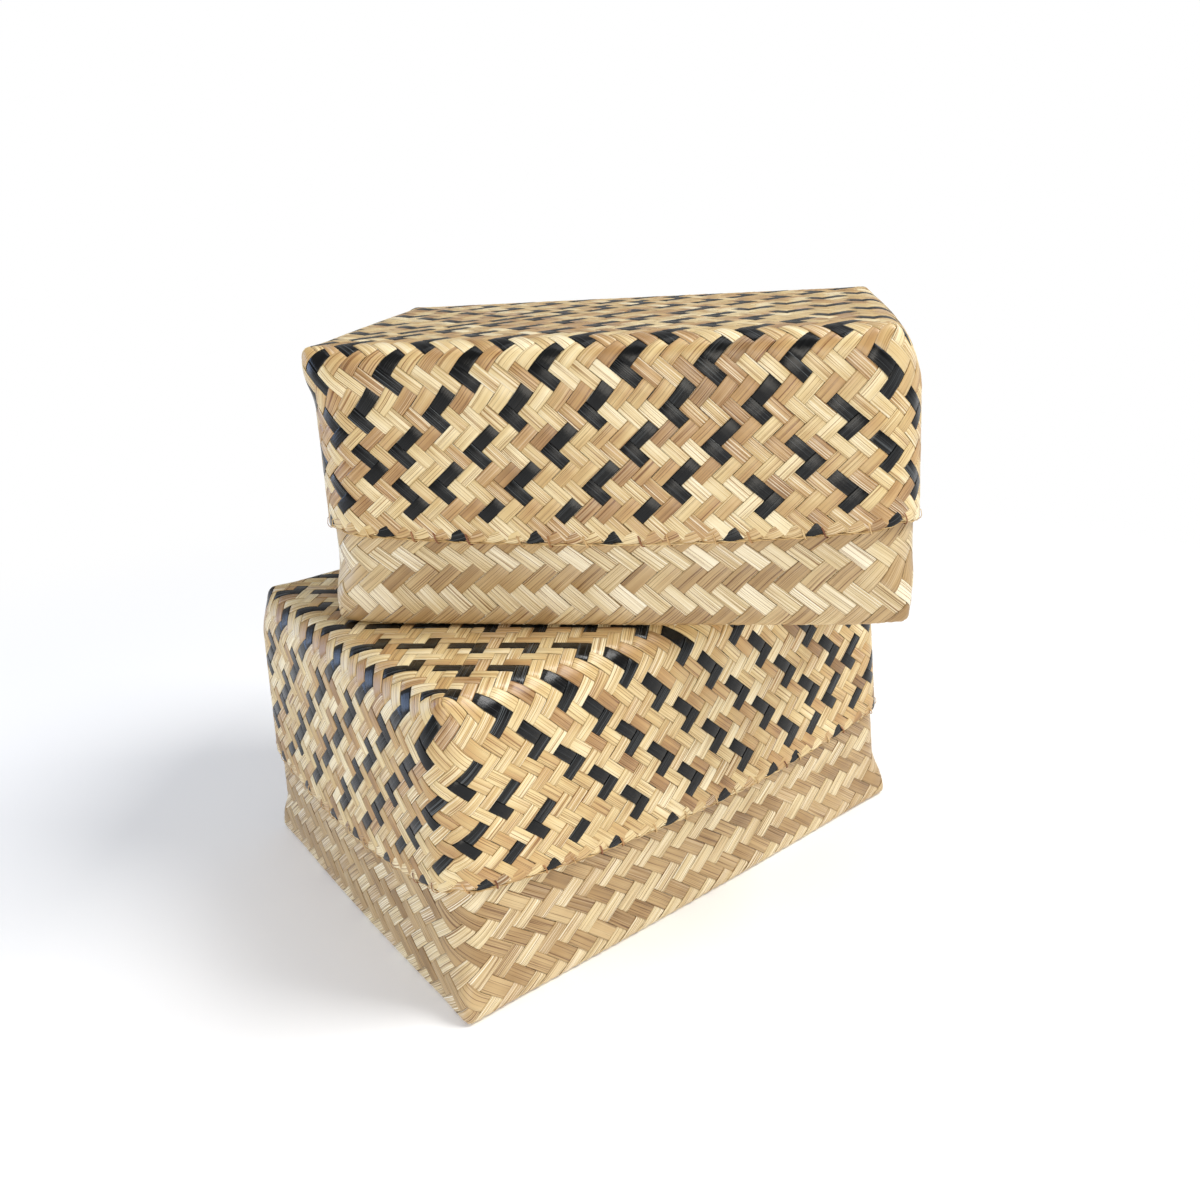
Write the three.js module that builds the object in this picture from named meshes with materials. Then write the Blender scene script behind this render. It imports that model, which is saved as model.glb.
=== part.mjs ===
// A set of two lidded storage baskets, woven from flat bamboo strips, the smaller one standing
// turned on the lid of the larger one. Millimetres, +Z up. The origin is the middle of the
// large tray's underside, with +X along the large basket's long side.
//
// Each basket is a tray with a deep lid that slips over it. The tray and the lid are built the
// same way: an outer woven layer, a woven lining behind it, a flat hoop that stiffens the rim
// below the lining, and a twisted cord laid along the rim's edge. The weave itself is fine
// surface work, so every woven layer here is one closed sheet of its full thickness.
import * as THREE from 'three';

// Large basket: outside length and width of its tray at the floor, and height with the lid on.
const largeLength = 298;
const largeWidth = 224;
const largeHeight = 160;
// How far the large basket's walls lean in, on each side, from the floor to the top.
const largeLean = 8.5;
// Roundness of the large tray's upright edges at its rim, and how far its ears are drawn in.
const largeRimRadius = 15;
const largeTrayEarInset = -1;
// Height of the large lid's lower edge above the basket's underside, in the middle of a wall.
const largeLidRimHeight = 51;
// How much higher that edge stands at the end of +X, at the end of +Y, and at the corners.
const largeRimTiltX = -4.3;
const largeRimTiltY = -4.7;
const largeRimCornerRise = 12.5;

// Small basket, in the same terms.
const smallLength = 286;
const smallWidth = 184;
const smallHeight = 137;
const smallLean = 4.3;
const smallRimRadius = 26;
const smallTrayEarInset = 3;
const smallLidRimHeight = 43.5;
const smallRimTiltX = -0.5;
const smallRimTiltY = 0;
const smallRimCornerRise = 7;

// Where the small basket stands on the large one, and how far it is turned.
const smallOffsetX = 31.2;
const smallOffsetY = -23.5;
const smallTurnDegrees = -46.1;

// The small lid's top has settled towards one corner.
const smallTopShiftX = -4;
const smallTopShiftY = -3;

// Layers of a wall, from the outside in.
const weaveThickness = 1.2;
const liningThickness = 0.9;
const hoopThickness = 0.9;
const hoopWidth = 8;
const cordDiameter = 1.8;
// Space left between layers that touch, and between the lid and the tray that it slips over.
const layerGap = 0.3;
const lidClearance = 0.5;

// Roundness of a lid's top edges and of a tray's bottom edges.
const lidEdgeRadius = 16;
const trayEdgeRadius = 3.5;
// A corner of the closed end is a tight ear. Its radius is the one inside the lining.
const earInnerRadius = 1.8;
// How far a lid's ears are drawn in, and how far from a corner an ear's shape reaches.
const lidEarInset = 6.5;
const earReach = 30;
// How far the middle of each wall swells out.
const wallSwell = 2;

// Where rings stand near the edge of a closed end, as shares of its radius, and stations along
// a wall near a corner, as shares of the ear's reach.
const edgeShares = [1, 0.38, 0];
const cornerShares = [0, 0.27, 0.6, 1];
const cordSides = 6;

const liningInset = weaveThickness + layerGap;
const wallThickness = liningInset + liningThickness;

const weaveColour = 0xcfae7c;
const patternColour = 0xb08f62;
const liningColour = 0xd8bd90;
const hoopColour = 0xc09a63;
const cordColour = 0xc9a878;

/** Eases from 0 to 1 as share goes from 0 to 1. */
function ease(share) {
  const s = THREE.MathUtils.clamp(share, 0, 1);
  return s * s * (3 - 2 * s);
}

/**
 * A point of a tray's or a lid's wall or closed end. x and y are where the point lies on a box
 * with sharp edges, depth is its distance from the closed end, and inset is how far it lies
 * inside the outer face.
 */
function shellPoint(form, x, y, depth, inset) {
  const { halfLength, halfWidth } = form;
  const toCorner = Math.hypot(halfLength - Math.abs(x), halfWidth - Math.abs(y), depth);
  const away = ease(toCorner / earReach);
  const openRadius = THREE.MathUtils.lerp(form.edgeRadius, form.rimRadius, ease(depth / earReach));
  const radius = THREE.MathUtils.lerp(earInnerRadius + wallThickness, openRadius, away);

  // Round the sharp box: step back to its core, then out again along the normal.
  const core = new THREE.Vector3(
    THREE.MathUtils.clamp(x, radius - halfLength, halfLength - radius),
    THREE.MathUtils.clamp(y, radius - halfWidth, halfWidth - radius),
    Math.max(depth, radius),
  );
  const normal = new THREE.Vector3(x, y, depth).sub(core).normalize();
  const point = core.addScaledVector(normal, radius - inset);

  // The ears are drawn in, the walls swell and lean, and a settled top has moved over.
  const sharpHeight = form.closedUp ? form.height - depth : depth;
  const settled = ease((sharpHeight - form.settleFrom) / (form.height - form.settleFrom));
  const lean = form.lean * sharpHeight / form.height;
  const drawn = form.earInset * (1 - away);
  const alongX = x / halfLength;
  const alongY = y / halfWidth;
  const swellX = wallSwell * alongX ** 3 * Math.cos(alongY * Math.PI / 2);
  const swellY = wallSwell * alongY ** 3 * Math.cos(alongX * Math.PI / 2);
  point.x += swellX - alongX * lean - Math.sign(x) * drawn + form.shiftX * settled;
  point.y += swellY - alongY * lean - Math.sign(y) * drawn + form.shiftY * settled;
  point.z = form.closedUp ? form.height - point.z : point.z;
  return point;
}

/** The stations around a form: points on its sharp outline, closest together at the corners. */
function outlineStations(form) {
  const { halfLength, halfWidth } = form;
  const fromCorner = cornerShares.map((share) => share * earReach);
  const along = (half) => {
    const first = fromCorner.map((step) => step - half);
    const second = fromCorner.slice(1).map((step) => half - step).reverse();
    return [...first, -half / 2, 0, half / 2, ...second];
  };
  return [
    ...along(halfLength).map((x) => [x, -halfWidth]),
    ...along(halfWidth).map((y) => [halfLength, y]),
    ...along(halfLength).map((x) => [-x, halfWidth]),
    ...along(halfWidth).map((y) => [-halfLength, -y]),
  ];
}

/** How much higher a lid's rim stands at a point of the outline than in the middle of a wall. */
function rimLift(form, x, y) {
  const alongX = x / form.halfLength;
  const alongY = y / form.halfWidth;
  return form.tiltX * alongX + form.tiltY * alongY + form.cornerRise * (alongX * alongY) ** 2;
}

/** A ring around the wall, level near the closed end and following the rim further away. */
function wallRing(form, depth, inset) {
  const share = (depth - earReach) / (form.rimDepth - earReach);
  const follows = THREE.MathUtils.clamp(share, 0, 1);
  return outlineStations(form).map(([x, y]) => {
    const lifted = depth - follows * rimLift(form, x, y);
    return shellPoint(form, x, y, lifted, inset);
  });
}

/** A ring on the closed end, at one distance in from its sharp edge. */
function endRing(form, fromEdge, inset) {
  const shareX = 1 - fromEdge / form.halfLength;
  const shareY = 1 - fromEdge / form.halfWidth;
  return outlineStations(form).map(([x, y]) => shellPoint(form, x * shareX, y * shareY, 0, inset));
}

/** One side of a sheet, as rings from the middle of the closed end down to its rim. */
function sheetRings(form, inset, rimDepth) {
  const fromEdge = edgeShares.map((share) => share * form.edgeRadius);
  const wallDepths = [...fromEdge.slice(0, -1).reverse(), earReach, rimDepth];
  return [
    ...fromEdge.map((distance) => endRing(form, distance, inset)),
    ...wallDepths.map((depth) => wallRing(form, depth, inset)),
  ];
}

/**
 * A closed body from rings that all have as many points. With a pair of tips the two ends close
 * on them, and without, the last ring joins the first. Each four-sided face is split along its
 * shorter diagonal, so that layers that lie together stay parallel.
 */
function bodyFromRings(rings, tips = []) {
  const count = rings[0].length;
  const points = [...rings.flat(), ...tips];
  const positions = points.flatMap((point) => point.toArray());
  const index = [];
  const lastBand = tips.length ? rings.length - 1 : rings.length;
  for (let band = 0; band < lastBand; band += 1) {
    const here = band * count;
    const there = ((band + 1) % rings.length) * count;
    for (let i = 0; i < count; i += 1) {
      const j = (i + 1) % count;
      const [a, b, c, d] = [here + i, there + i, there + j, here + j];
      const splitFromA = points[a].distanceTo(points[c]) < points[b].distanceTo(points[d]);
      index.push(...(splitFromA ? [a, b, c, a, c, d] : [a, b, d, b, c, d]));
    }
  }
  if (tips.length) {
    const first = rings.length * count;
    const lastRing = first - count;
    for (let i = 0; i < count; i += 1) {
      const j = (i + 1) % count;
      index.push(first, i, j, first + 1, lastRing + j, lastRing + i);
    }
  }
  const geometry = new THREE.BufferGeometry();
  geometry.setAttribute('position', new THREE.Float32BufferAttribute(positions, 3));
  geometry.setIndex(facingOut(positions, index));
  geometry.computeVertexNormals();
  return geometry;
}

/** The triangles, turned over if they enclose a negative volume. */
function facingOut(positions, index) {
  const corner = (i) => new THREE.Vector3().fromArray(positions, index[i] * 3);
  let volume = 0;
  for (let i = 0; i < index.length; i += 3) {
    volume += corner(i).dot(corner(i + 1).cross(corner(i + 2)));
  }
  return volume < 0 ? [...index].reverse() : index;
}

/** A woven sheet that forms a wall and a closed end, open at its rim. */
function sheetBody(form, outerInset, thickness, rimDepth) {
  const outer = sheetRings(form, outerInset, rimDepth);
  const inner = sheetRings(form, outerInset + thickness, rimDepth).reverse();
  const outerTip = shellPoint(form, 0, 0, 0, outerInset);
  const innerTip = shellPoint(form, 0, 0, 0, outerInset + thickness);
  return bodyFromRings([...outer, ...inner], [outerTip, innerTip]);
}

/** The flat hoop behind the outer layer, between the rim and the lining's edge. */
function hoopBody(form) {
  const near = liningInset;
  const far = liningInset + hoopThickness;
  const upper = form.rimDepth - hoopWidth;
  return bodyFromRings([
    wallRing(form, form.rimDepth, near),
    wallRing(form, form.rimDepth, far),
    wallRing(form, upper, far),
    wallRing(form, upper, near),
  ]);
}

/** The cord that lies along the rim's edge, over the middle of the wall. */
function cordBody(form) {
  const radius = cordDiameter / 2;
  const depth = form.rimDepth + layerGap + radius;
  const rings = [];
  for (let side = 0; side < cordSides; side += 1) {
    const angle = (side + 0.5) * 2 * Math.PI / cordSides;
    const inset = wallThickness / 2 + radius * Math.cos(angle);
    rings.push(wallRing(form, depth + radius * Math.sin(angle), inset));
  }
  return bodyFromRings(rings);
}

/** A named mesh with its own material. */
function piece(name, geometry, colour, roughness) {
  const material = new THREE.MeshStandardMaterial({ color: colour, roughness, metalness: 0 });
  const mesh = new THREE.Mesh(geometry, material);
  mesh.name = name;
  return mesh;
}

/** The four pieces of a tray or a lid. */
function shellPieces(name, form, colour) {
  const liningDepth = form.rimDepth - hoopWidth - layerGap;
  const weave = sheetBody(form, 0, weaveThickness, form.rimDepth);
  const lining = sheetBody(form, liningInset, liningThickness, liningDepth);
  return [
    piece(`${name}_weave`, weave, colour, 0.55),
    piece(`${name}_lining`, lining, liningColour, 0.6),
    piece(`${name}_rim_hoop`, hoopBody(form), hoopColour, 0.5),
    piece(`${name}_rim_cord`, cordBody(form), cordColour, 0.85),
  ];
}

/** A basket standing on z = 0: its tray, and the lid that slips over it. */
function basket(size) {
  // The tray's rim cord ends where the lid's ears begin to draw in, so the lid seats on it.
  const trayRimHeight = size.height - earReach - cordDiameter - layerGap;
  const lidReach = lidClearance + wallThickness;
  const tray = {
    ...size,
    halfLength: size.length / 2,
    halfWidth: size.width / 2,
    closedUp: false,
    rimDepth: trayRimHeight,
    edgeRadius: trayEdgeRadius,
    rimRadius: size.rimRadius,
    earInset: size.trayEarInset,
    tiltX: 0,
    tiltY: 0,
    cornerRise: 0,
    shiftX: 0,
    shiftY: 0,
    settleFrom: trayRimHeight,
  };
  const lid = {
    ...tray,
    halfLength: tray.halfLength + lidReach,
    halfWidth: tray.halfWidth + lidReach,
    closedUp: true,
    rimDepth: size.height - size.lidRimHeight,
    edgeRadius: lidEdgeRadius,
    rimRadius: size.rimRadius + lidReach,
    earInset: lidEarInset,
    tiltX: size.tiltX,
    tiltY: size.tiltY,
    cornerRise: size.cornerRise,
    shiftX: size.shiftX,
    shiftY: size.shiftY,
  };
  const group = new THREE.Group();
  group.add(...shellPieces(`${size.name}_tray`, tray, weaveColour));
  group.add(...shellPieces(`${size.name}_lid`, lid, patternColour));
  return group;
}

const largeBasket = basket({
  name: 'large',
  length: largeLength,
  width: largeWidth,
  height: largeHeight,
  lean: largeLean,
  rimRadius: largeRimRadius,
  trayEarInset: largeTrayEarInset,
  lidRimHeight: largeLidRimHeight,
  tiltX: largeRimTiltX,
  tiltY: largeRimTiltY,
  cornerRise: largeRimCornerRise,
  shiftX: 0,
  shiftY: 0,
});

const smallBasket = basket({
  name: 'small',
  length: smallLength,
  width: smallWidth,
  height: smallHeight,
  lean: smallLean,
  rimRadius: smallRimRadius,
  trayEarInset: smallTrayEarInset,
  lidRimHeight: smallLidRimHeight,
  tiltX: smallRimTiltX,
  tiltY: smallRimTiltY,
  cornerRise: smallRimCornerRise,
  shiftX: smallTopShiftX,
  shiftY: smallTopShiftY,
});
smallBasket.position.set(smallOffsetX, smallOffsetY, largeHeight + layerGap);
smallBasket.rotation.z = THREE.MathUtils.degToRad(smallTurnDegrees);

const set = new THREE.Group();
set.add(largeBasket, smallBasket);

export default set;
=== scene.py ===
"""Dresses a stacked set of two lidded storage baskets woven from split bamboo.

Every strip of the weave is its own ribbon that runs over and under its neighbours, laid on the
same surface as the solids. Surfaces and strips are worked out in millimetres, and each mesh is
turned to metres when it is made.
"""
from __future__ import annotations

import logging
from dataclasses import dataclass, replace
from enum import Enum
from functools import cache, partial
from typing import Callable, Iterable, Iterator, Sequence

import bpy
import numpy as np
from mathutils import Matrix, Vector


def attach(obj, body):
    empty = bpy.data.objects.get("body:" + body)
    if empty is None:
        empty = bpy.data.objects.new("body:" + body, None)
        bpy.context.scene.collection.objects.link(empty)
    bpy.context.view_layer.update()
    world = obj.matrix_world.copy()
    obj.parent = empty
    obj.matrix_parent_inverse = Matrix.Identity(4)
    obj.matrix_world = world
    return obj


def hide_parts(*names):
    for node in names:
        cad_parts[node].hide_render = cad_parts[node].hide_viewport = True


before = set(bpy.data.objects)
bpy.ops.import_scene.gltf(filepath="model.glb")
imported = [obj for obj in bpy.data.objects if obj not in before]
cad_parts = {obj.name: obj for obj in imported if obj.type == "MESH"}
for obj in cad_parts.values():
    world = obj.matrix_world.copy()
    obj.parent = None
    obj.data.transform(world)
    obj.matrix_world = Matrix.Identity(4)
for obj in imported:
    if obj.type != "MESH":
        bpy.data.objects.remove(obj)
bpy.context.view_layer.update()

LOG = logging.getLogger("baskets")

Array = np.ndarray
MM = 0.001

# The layers of a wall and the shapes of its edges, as in the solids.
WEAVE_THICKNESS = 1.2
LINING_THICKNESS = 0.9
LAYER_GAP = 0.3
LID_CLEARANCE = 0.5
CORD_DIAMETER = 1.8
HOOP_WIDTH = 8.0
LINING_INSET = WEAVE_THICKNESS + LAYER_GAP
WALL_THICKNESS = LINING_INSET + LINING_THICKNESS
LID_REACH = LID_CLEARANCE + WALL_THICKNESS
EAR_REACH = 30.0
EAR_RADIUS = 1.8 + WALL_THICKNESS
LID_EAR_INSET = 6.5
WALL_SWELL = 2.0
LID_EDGE_RADIUS = 16.0
TRAY_EDGE_RADIUS = 3.5
# An arc of a quarter turn is this much of its radius shorter, at each end, than the square corner.
ARC_SAVING = 1 - np.pi / 4
# The twill and its dyed strips repeat after this many strips.
REPEAT = 4
# Half a strip's width, along the lattice's other diagonal, in pitches.
HALF_STRIP = 0.25
# How far a strip's rings go on past its cut end, and the least step between rings, in pitches.
END_MARGIN = 0.5
LEAST_STEP = 0.02
# Short ways that give a direction: along the net in pitches, and into a wall in millimetres.
NET_PROBE = 0.1
WALL_PROBE = 1.0
# The patterns of two strips lie up to this far apart along the grain, and between their seeds.
GRAIN_SPREAD = 500
SEED_SPREAD = 900
# Steps from a basket's seed to the seeds of its parts.
LID_SEED = 7
LINING_SEED = 50
TWINE_SEED = 90
# The middle of the set, which the lights face, in metres.
MIDDLE = (0.0, 0.0, 0.14)


class Family(Enum):
    """The two diagonal directions in which strips cross the closed end."""

    RISING = 1
    FALLING = -1


class Side(Enum):
    """The four walls, in order around a basket."""

    FRONT = 0
    RIGHT = 1
    BACK = 2
    LEFT = 3


class Slope(Enum):
    """How the distance along a wall changes as a strip runs away from the closed end."""

    BACKWARD = -1
    FORWARD = 1


def ease(share: Array) -> Array:
    """Eases from 0 to 1 as the share goes from 0 to 1."""
    s = np.clip(share, 0.0, 1.0)
    return s * s * (3 - 2 * s)


def unit(vectors: Array) -> Array:
    """Scales vectors to length 1."""
    return vectors / np.maximum(np.linalg.norm(vectors, axis=-1, keepdims=True), 1e-9)


def dot(a: Array, b: Array) -> Array:
    """The dot products of two rows of vectors."""
    return (a * b).sum(-1)


def columns(*values: Array | float) -> Array:
    """Stacks values along a new last axis, each spread to the shape that they all share."""
    return np.stack(np.broadcast_arrays(*values), -1)


def on_box(
    side: Array, along: Array, outside: Array | float, size: tuple[float, float]
) -> tuple[Array, Array]:
    """Turns distances along and out from the sides of a rectangle to coordinates.

    Args:
        side: Numbers of the sides, in order around from the front.
        along: Distances from the start of the side.
        outside: Distances out from the side.
        size: The rectangle's length and width.

    Returns:
        x and y from the front left corner.
    """
    length, width = size
    x = np.choose(side, [along, length + outside, length - along, -outside])
    y = np.choose(side, [-outside, along, width + outside, width - along])
    return x, y


def unroll(distance: Array, radius: Array, total: float) -> Array:
    """Finds where a point lies on the square-edged form, for an even arc length on the round one.

    Args:
        distance: Even distance from the edge.
        radius: Radius of the edge there.
        total: Distance at which the two scales meet again.

    Returns:
        The distance from the edge on the square-edged form.
    """
    arc = distance / total * (total - ARC_SAVING * radius)
    bent = radius * (1 - np.tan(np.pi / 4 - np.minimum(arc / radius, np.pi / 4)))
    return np.where(arc < radius * np.pi / 4, bent, arc + ARC_SAVING * radius)


@dataclass(frozen=True)
class Form:
    """The surface of a tray or a lid, as in the solids."""

    half_length: float
    half_width: float
    height: float
    # How far the walls lean in at the basket's full height.
    lean: float
    # Distance from the closed end to the rim.
    rim_depth: float
    edge_radius: float
    rim_radius: float
    # How far the closed end's corners are drawn in.
    ear_inset: float
    # Whether the closed end is up, as on a lid.
    closed_up: bool
    # The level above which the form is shifted, and how far it is at the top.
    settle_from: float
    shift: tuple[float, float] = (0.0, 0.0)
    # How far the rim rises towards the right and the back, and how much further at the corners.
    tilt: tuple[float, float] = (0.0, 0.0)
    corner_rise: float = 0.0

    @property
    def perimeter(self) -> float:
        """The way around the square-edged form."""
        return 4 * (self.half_length + self.half_width)

    def radius(self, x: Array, y: Array, depth: Array) -> tuple[Array, Array]:
        """Gives the roundness at a point of the square-edged form.

        Args:
            x: Place along the length.
            y: Place along the width.
            depth: Distance from the closed end.

        Returns:
            The radius, and how far the point is from the nearest ear, from 0 to 1.
        """
        far_x, far_y = self.half_length - abs(x), self.half_width - abs(y)
        away = ease(np.sqrt(far_x**2 + far_y**2 + depth**2) / EAR_REACH)
        widening = ease(depth / EAR_REACH)
        opened = self.edge_radius + (self.rim_radius - self.edge_radius) * widening
        return EAR_RADIUS + (opened - EAR_RADIUS) * away, away

    def point(self, x: Array, y: Array, depth: Array, inset: float) -> Array:
        """Gives the surface points for points of the square-edged form.

        Args:
            x: Place along the length.
            y: Place along the width.
            depth: Distance from the closed end.
            inset: Distance inside the outer face.

        Returns:
            The points, with z up from the basket's underside.
        """
        radius, away = self.radius(x, y, depth)
        room_x, room_y = self.half_length - radius, self.half_width - radius
        core_x, core_y = np.clip(x, -room_x, room_x), np.clip(y, -room_y, room_y)
        core = columns(core_x, core_y, np.maximum(depth, radius))
        point = core + unit(columns(x, y, depth) - core) * (radius - inset)[..., None]

        level = self.height - depth if self.closed_up else depth
        settled = ease((level - self.settle_from) / (self.height - self.settle_from))
        shares = (x / self.half_length, y / self.half_width)
        for axis, (share, other) in enumerate((shares, shares[::-1])):
            swell = WALL_SWELL * share**3 * np.cos(other * np.pi / 2)
            lean = share * self.lean * level / self.height
            drawn = np.sign(share) * self.ear_inset * (1 - away)
            point[..., axis] += swell - lean - drawn + self.shift[axis] * settled
        if self.closed_up:
            point[..., 2] = self.height - point[..., 2]
        return point

    def follow_rim(self, x: Array, y: Array, depth: Array) -> Array:
        """Turns a level depth into one that follows the rim's rise away from the closed end.

        Args:
            x: Place along the length.
            y: Place along the width.
            depth: Distance from the closed end.

        Returns:
            The depth that follows the rim.
        """
        along_x, along_y = x / self.half_length, y / self.half_width
        lift = self.tilt[0] * along_x + self.tilt[1] * along_y
        lift = lift + self.corner_rise * (along_x * along_y) ** 2
        share = (depth - EAR_REACH) / (self.rim_depth - EAR_REACH)
        return depth - np.clip(share, 0, 1) * lift


@dataclass(frozen=True)
class Run:
    """The course of one strip: up a wall, across the closed end, and down another wall.

    The start is where it enters the closed end, the length is its way across that, and there is
    a side, a slope and an offset around the walls for each of its two walls. Distances are in
    pitches.
    """

    family: Family
    number: int
    start: tuple[float, float]
    length: float
    sides: tuple[Side, Side]
    slopes: tuple[Slope, Slope]
    offsets: tuple[int, int]


@dataclass(frozen=True)
class Lattice:
    """The net that a weave's strips follow on a form, counted in strip pitches.

    The closed end is a panel of across by back pitches. A wall point is given by its distance
    around the walls from the front left corner, and its distance from the closed end.
    """

    form: Form
    across: int
    back: int
    rows: float

    @property
    def total(self) -> int:
        """The pitches around the walls."""
        return 2 * (self.across + self.back)

    def walls(self, around: Array) -> tuple[Array, Array, Array]:
        """Finds the walls that points lie on.

        Args:
            around: Pitches around the walls.

        Returns:
            The walls' numbers, the pitches from their starts, and their lengths in pitches.
        """
        counts = np.array([self.across, self.back] * 2)
        starts = np.cumsum(counts) - counts
        around = np.mod(around, self.total)
        side = np.searchsorted(starts, around, side="right") - 1
        return side, around - starts[side], counts[side]

    def wall_point(self, around: Array, down: Array, inset: float) -> Array:
        """Gives points on the walls.

        Args:
            around: Pitches around the walls.
            down: Pitches from the closed end.
            inset: Distance inside the outer face.

        Returns:
            The surface points.
        """
        form = self.form
        size = (2 * form.half_length, 2 * form.half_width)
        side, passed, count = self.walls(around)
        share = passed / count
        length = np.array(size)[side % 2]
        level = down / self.rows * form.rim_depth
        near = np.minimum(share, 1 - share) * length

        def place(from_corner: Array) -> tuple[Array, Array]:
            """Finds the x and y of points at a distance from their nearest corner."""
            x, y = on_box(side, np.where(share < 0.5, from_corner, length - from_corner), 0.0, size)
            return x - form.half_length, y - form.half_width

        x, y = place(near)
        depth = unroll(level, form.radius(x, y, level)[0], form.rim_depth)
        x, y = place(unroll(near, form.radius(x, y, depth)[0], length / 2))
        return form.point(x, y, form.follow_rim(x, y, depth), inset)

    def panel_point(self, across: Array, back: Array, inset: float) -> Array:
        """Gives points on the closed end.

        Args:
            across: Pitches from the left edge.
            back: Pitches from the front edge.
            inset: Distance inside the outer face.

        Returns:
            The surface points.
        """
        form = self.form
        halves = (form.half_length, form.half_width)
        shares = (across / self.across, back / self.back)
        flat = [(2 * np.clip(s, 0, 1) - 1) * half for s, half in zip(shares, halves)]
        level = np.zeros_like(flat[0])
        radius = form.radius(flat[0], flat[1], level)[0]
        x, y = (
            np.sign(place) * (half - unroll(half - abs(place), radius, half))
            for place, half in zip(flat, halves)
        )
        return form.point(x, y, level, inset)

    def point(self, on_panel: Array, a: Array, b: Array, inset: float) -> Array:
        """Gives surface points, also for ones that lie past an edge of their own part.

        Args:
            on_panel: Whether each point is given in the panel's coordinates.
            a: Pitches around the walls, or from the panel's left edge.
            b: Pitches from the closed end, or from the panel's front edge.
            inset: Distance inside the outer face.

        Returns:
            The surface points.
        """
        across, back = self.across, self.back
        # Past the left, right, front and back edges of the panel.
        past = np.stack([-a, a - across, -b, b - back])
        around = np.choose(past.argmax(0), [-b, across + b, a, 2 * across + back - a])
        leaves = on_panel & (past.max(0) > 0)
        side, passed, _ = self.walls(a)
        x, y = on_box(side, passed, b, (across, back))
        enters = ~on_panel & (b < 0)
        new_a = np.where(leaves, around, np.where(enters, x, a))
        new_b = np.where(leaves, past.max(0), np.where(enters, y, b))
        wall = self.wall_point(new_a, np.maximum(new_b, 0), inset)
        panel = self.panel_point(new_a, new_b, inset)
        return np.where(((on_panel & ~leaves) | enters)[..., None], panel, wall)

    def runs(self) -> Iterator[Run]:
        """Works out the course of every strip, family by family.

        Yields:
            The strips' runs, in order.
        """
        for family in Family:
            rising = family is Family.RISING
            lowest = -self.back if rising else 0
            for number in range(lowest, lowest + self.across + self.back):
                entry = number + 0.5
                start, first = (entry, 0.0), Side.FRONT
                if entry < 0:
                    start, first = (0.0, -entry), Side.LEFT
                elif entry > self.across:
                    start, first = (float(self.across), entry - self.across), Side.RIGHT
                to_side = self.across - start[0] if rising else start[0]
                to_back = self.back - start[1]
                last = Side.BACK
                if to_side <= to_back:
                    last = Side.RIGHT if rising else Side.LEFT
                length = min(to_side, to_back)
                slopes = (wall_slope(family, first), wall_slope(family, last))
                offsets = (number, (2 * self.across if rising else self.total) - number - 1)
                yield Run(family, number, start, length, (first, last), slopes, offsets)

    def locate(self, run: Run, along: Array) -> tuple[Array, Array, Array]:
        """Finds points of a strip's run on the lattice.

        Args:
            run: The strip's run.
            along: Pitches along the run, from where it enters the closed end.

        Returns:
            Whether each point is on the panel, and the two lattice coordinates there.
        """
        a = run.start[0] + run.family.value * along
        b = run.start[1] + along
        downs = (-along, along - run.length)
        for slope, offset, down in zip(run.slopes, run.offsets, downs):
            a = np.where(down > 0, offset + 0.5 + slope.value * down, a)
            b = np.where(down > 0, down, b)
        return (along >= 0) & (along <= run.length), a, b

    def on_top(self, run: Run, crossing: int, top_rows: tuple[int, int]) -> bool:
        """Tells whether a strip is on top where it crosses another.

        Args:
            run: The strip's run.
            crossing: Number of half pitches along the run.
            top_rows: Rows, counted in fours from an edge, where strips that slope backward
                on that edge's wall are on top.

        Returns:
            True if the strip is on top.
        """
        along = crossing / 2
        if along < 0:
            row, side = round(-2 * along), run.sides[0]
        elif along > run.length:
            row, side = round(2 * (along - run.length)), run.sides[1]
        else:
            x, y = run.start[0] + run.family.value * along, run.start[1] + along
            to_edges = [y, self.across - x, self.back - y, x]
            nearest = int(np.argmin(to_edges))
            row, side = -round(2 * to_edges[nearest]), Side(nearest)
        return (row % REPEAT in top_rows) == (wall_slope(run.family, side) is Slope.BACKWARD)


def wall_slope(family: Family, side: Side) -> Slope:
    """Which way a family's strips slope on a wall."""
    lengthwise = side in (Side.FRONT, Side.BACK)
    return Slope.BACKWARD if (family is Family.RISING) == lengthwise else Slope.FORWARD


def linear(hex_colour: str) -> tuple[float, float, float, float]:
    """Turns a colour to linear values.

    Args:
        hex_colour: The sRGB colour, as in "#ffffff".

    Returns:
        Linear red, green, blue and alpha.
    """
    parts = [int(hex_colour[i : i + 2], 16) / 255 for i in (1, 3, 5)]
    rgb = [c / 12.92 if c <= 0.04045 else ((c + 0.055) / 1.055) ** 2.4 for c in parts]
    return rgb[0], rgb[1], rgb[2], 1.0


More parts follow.
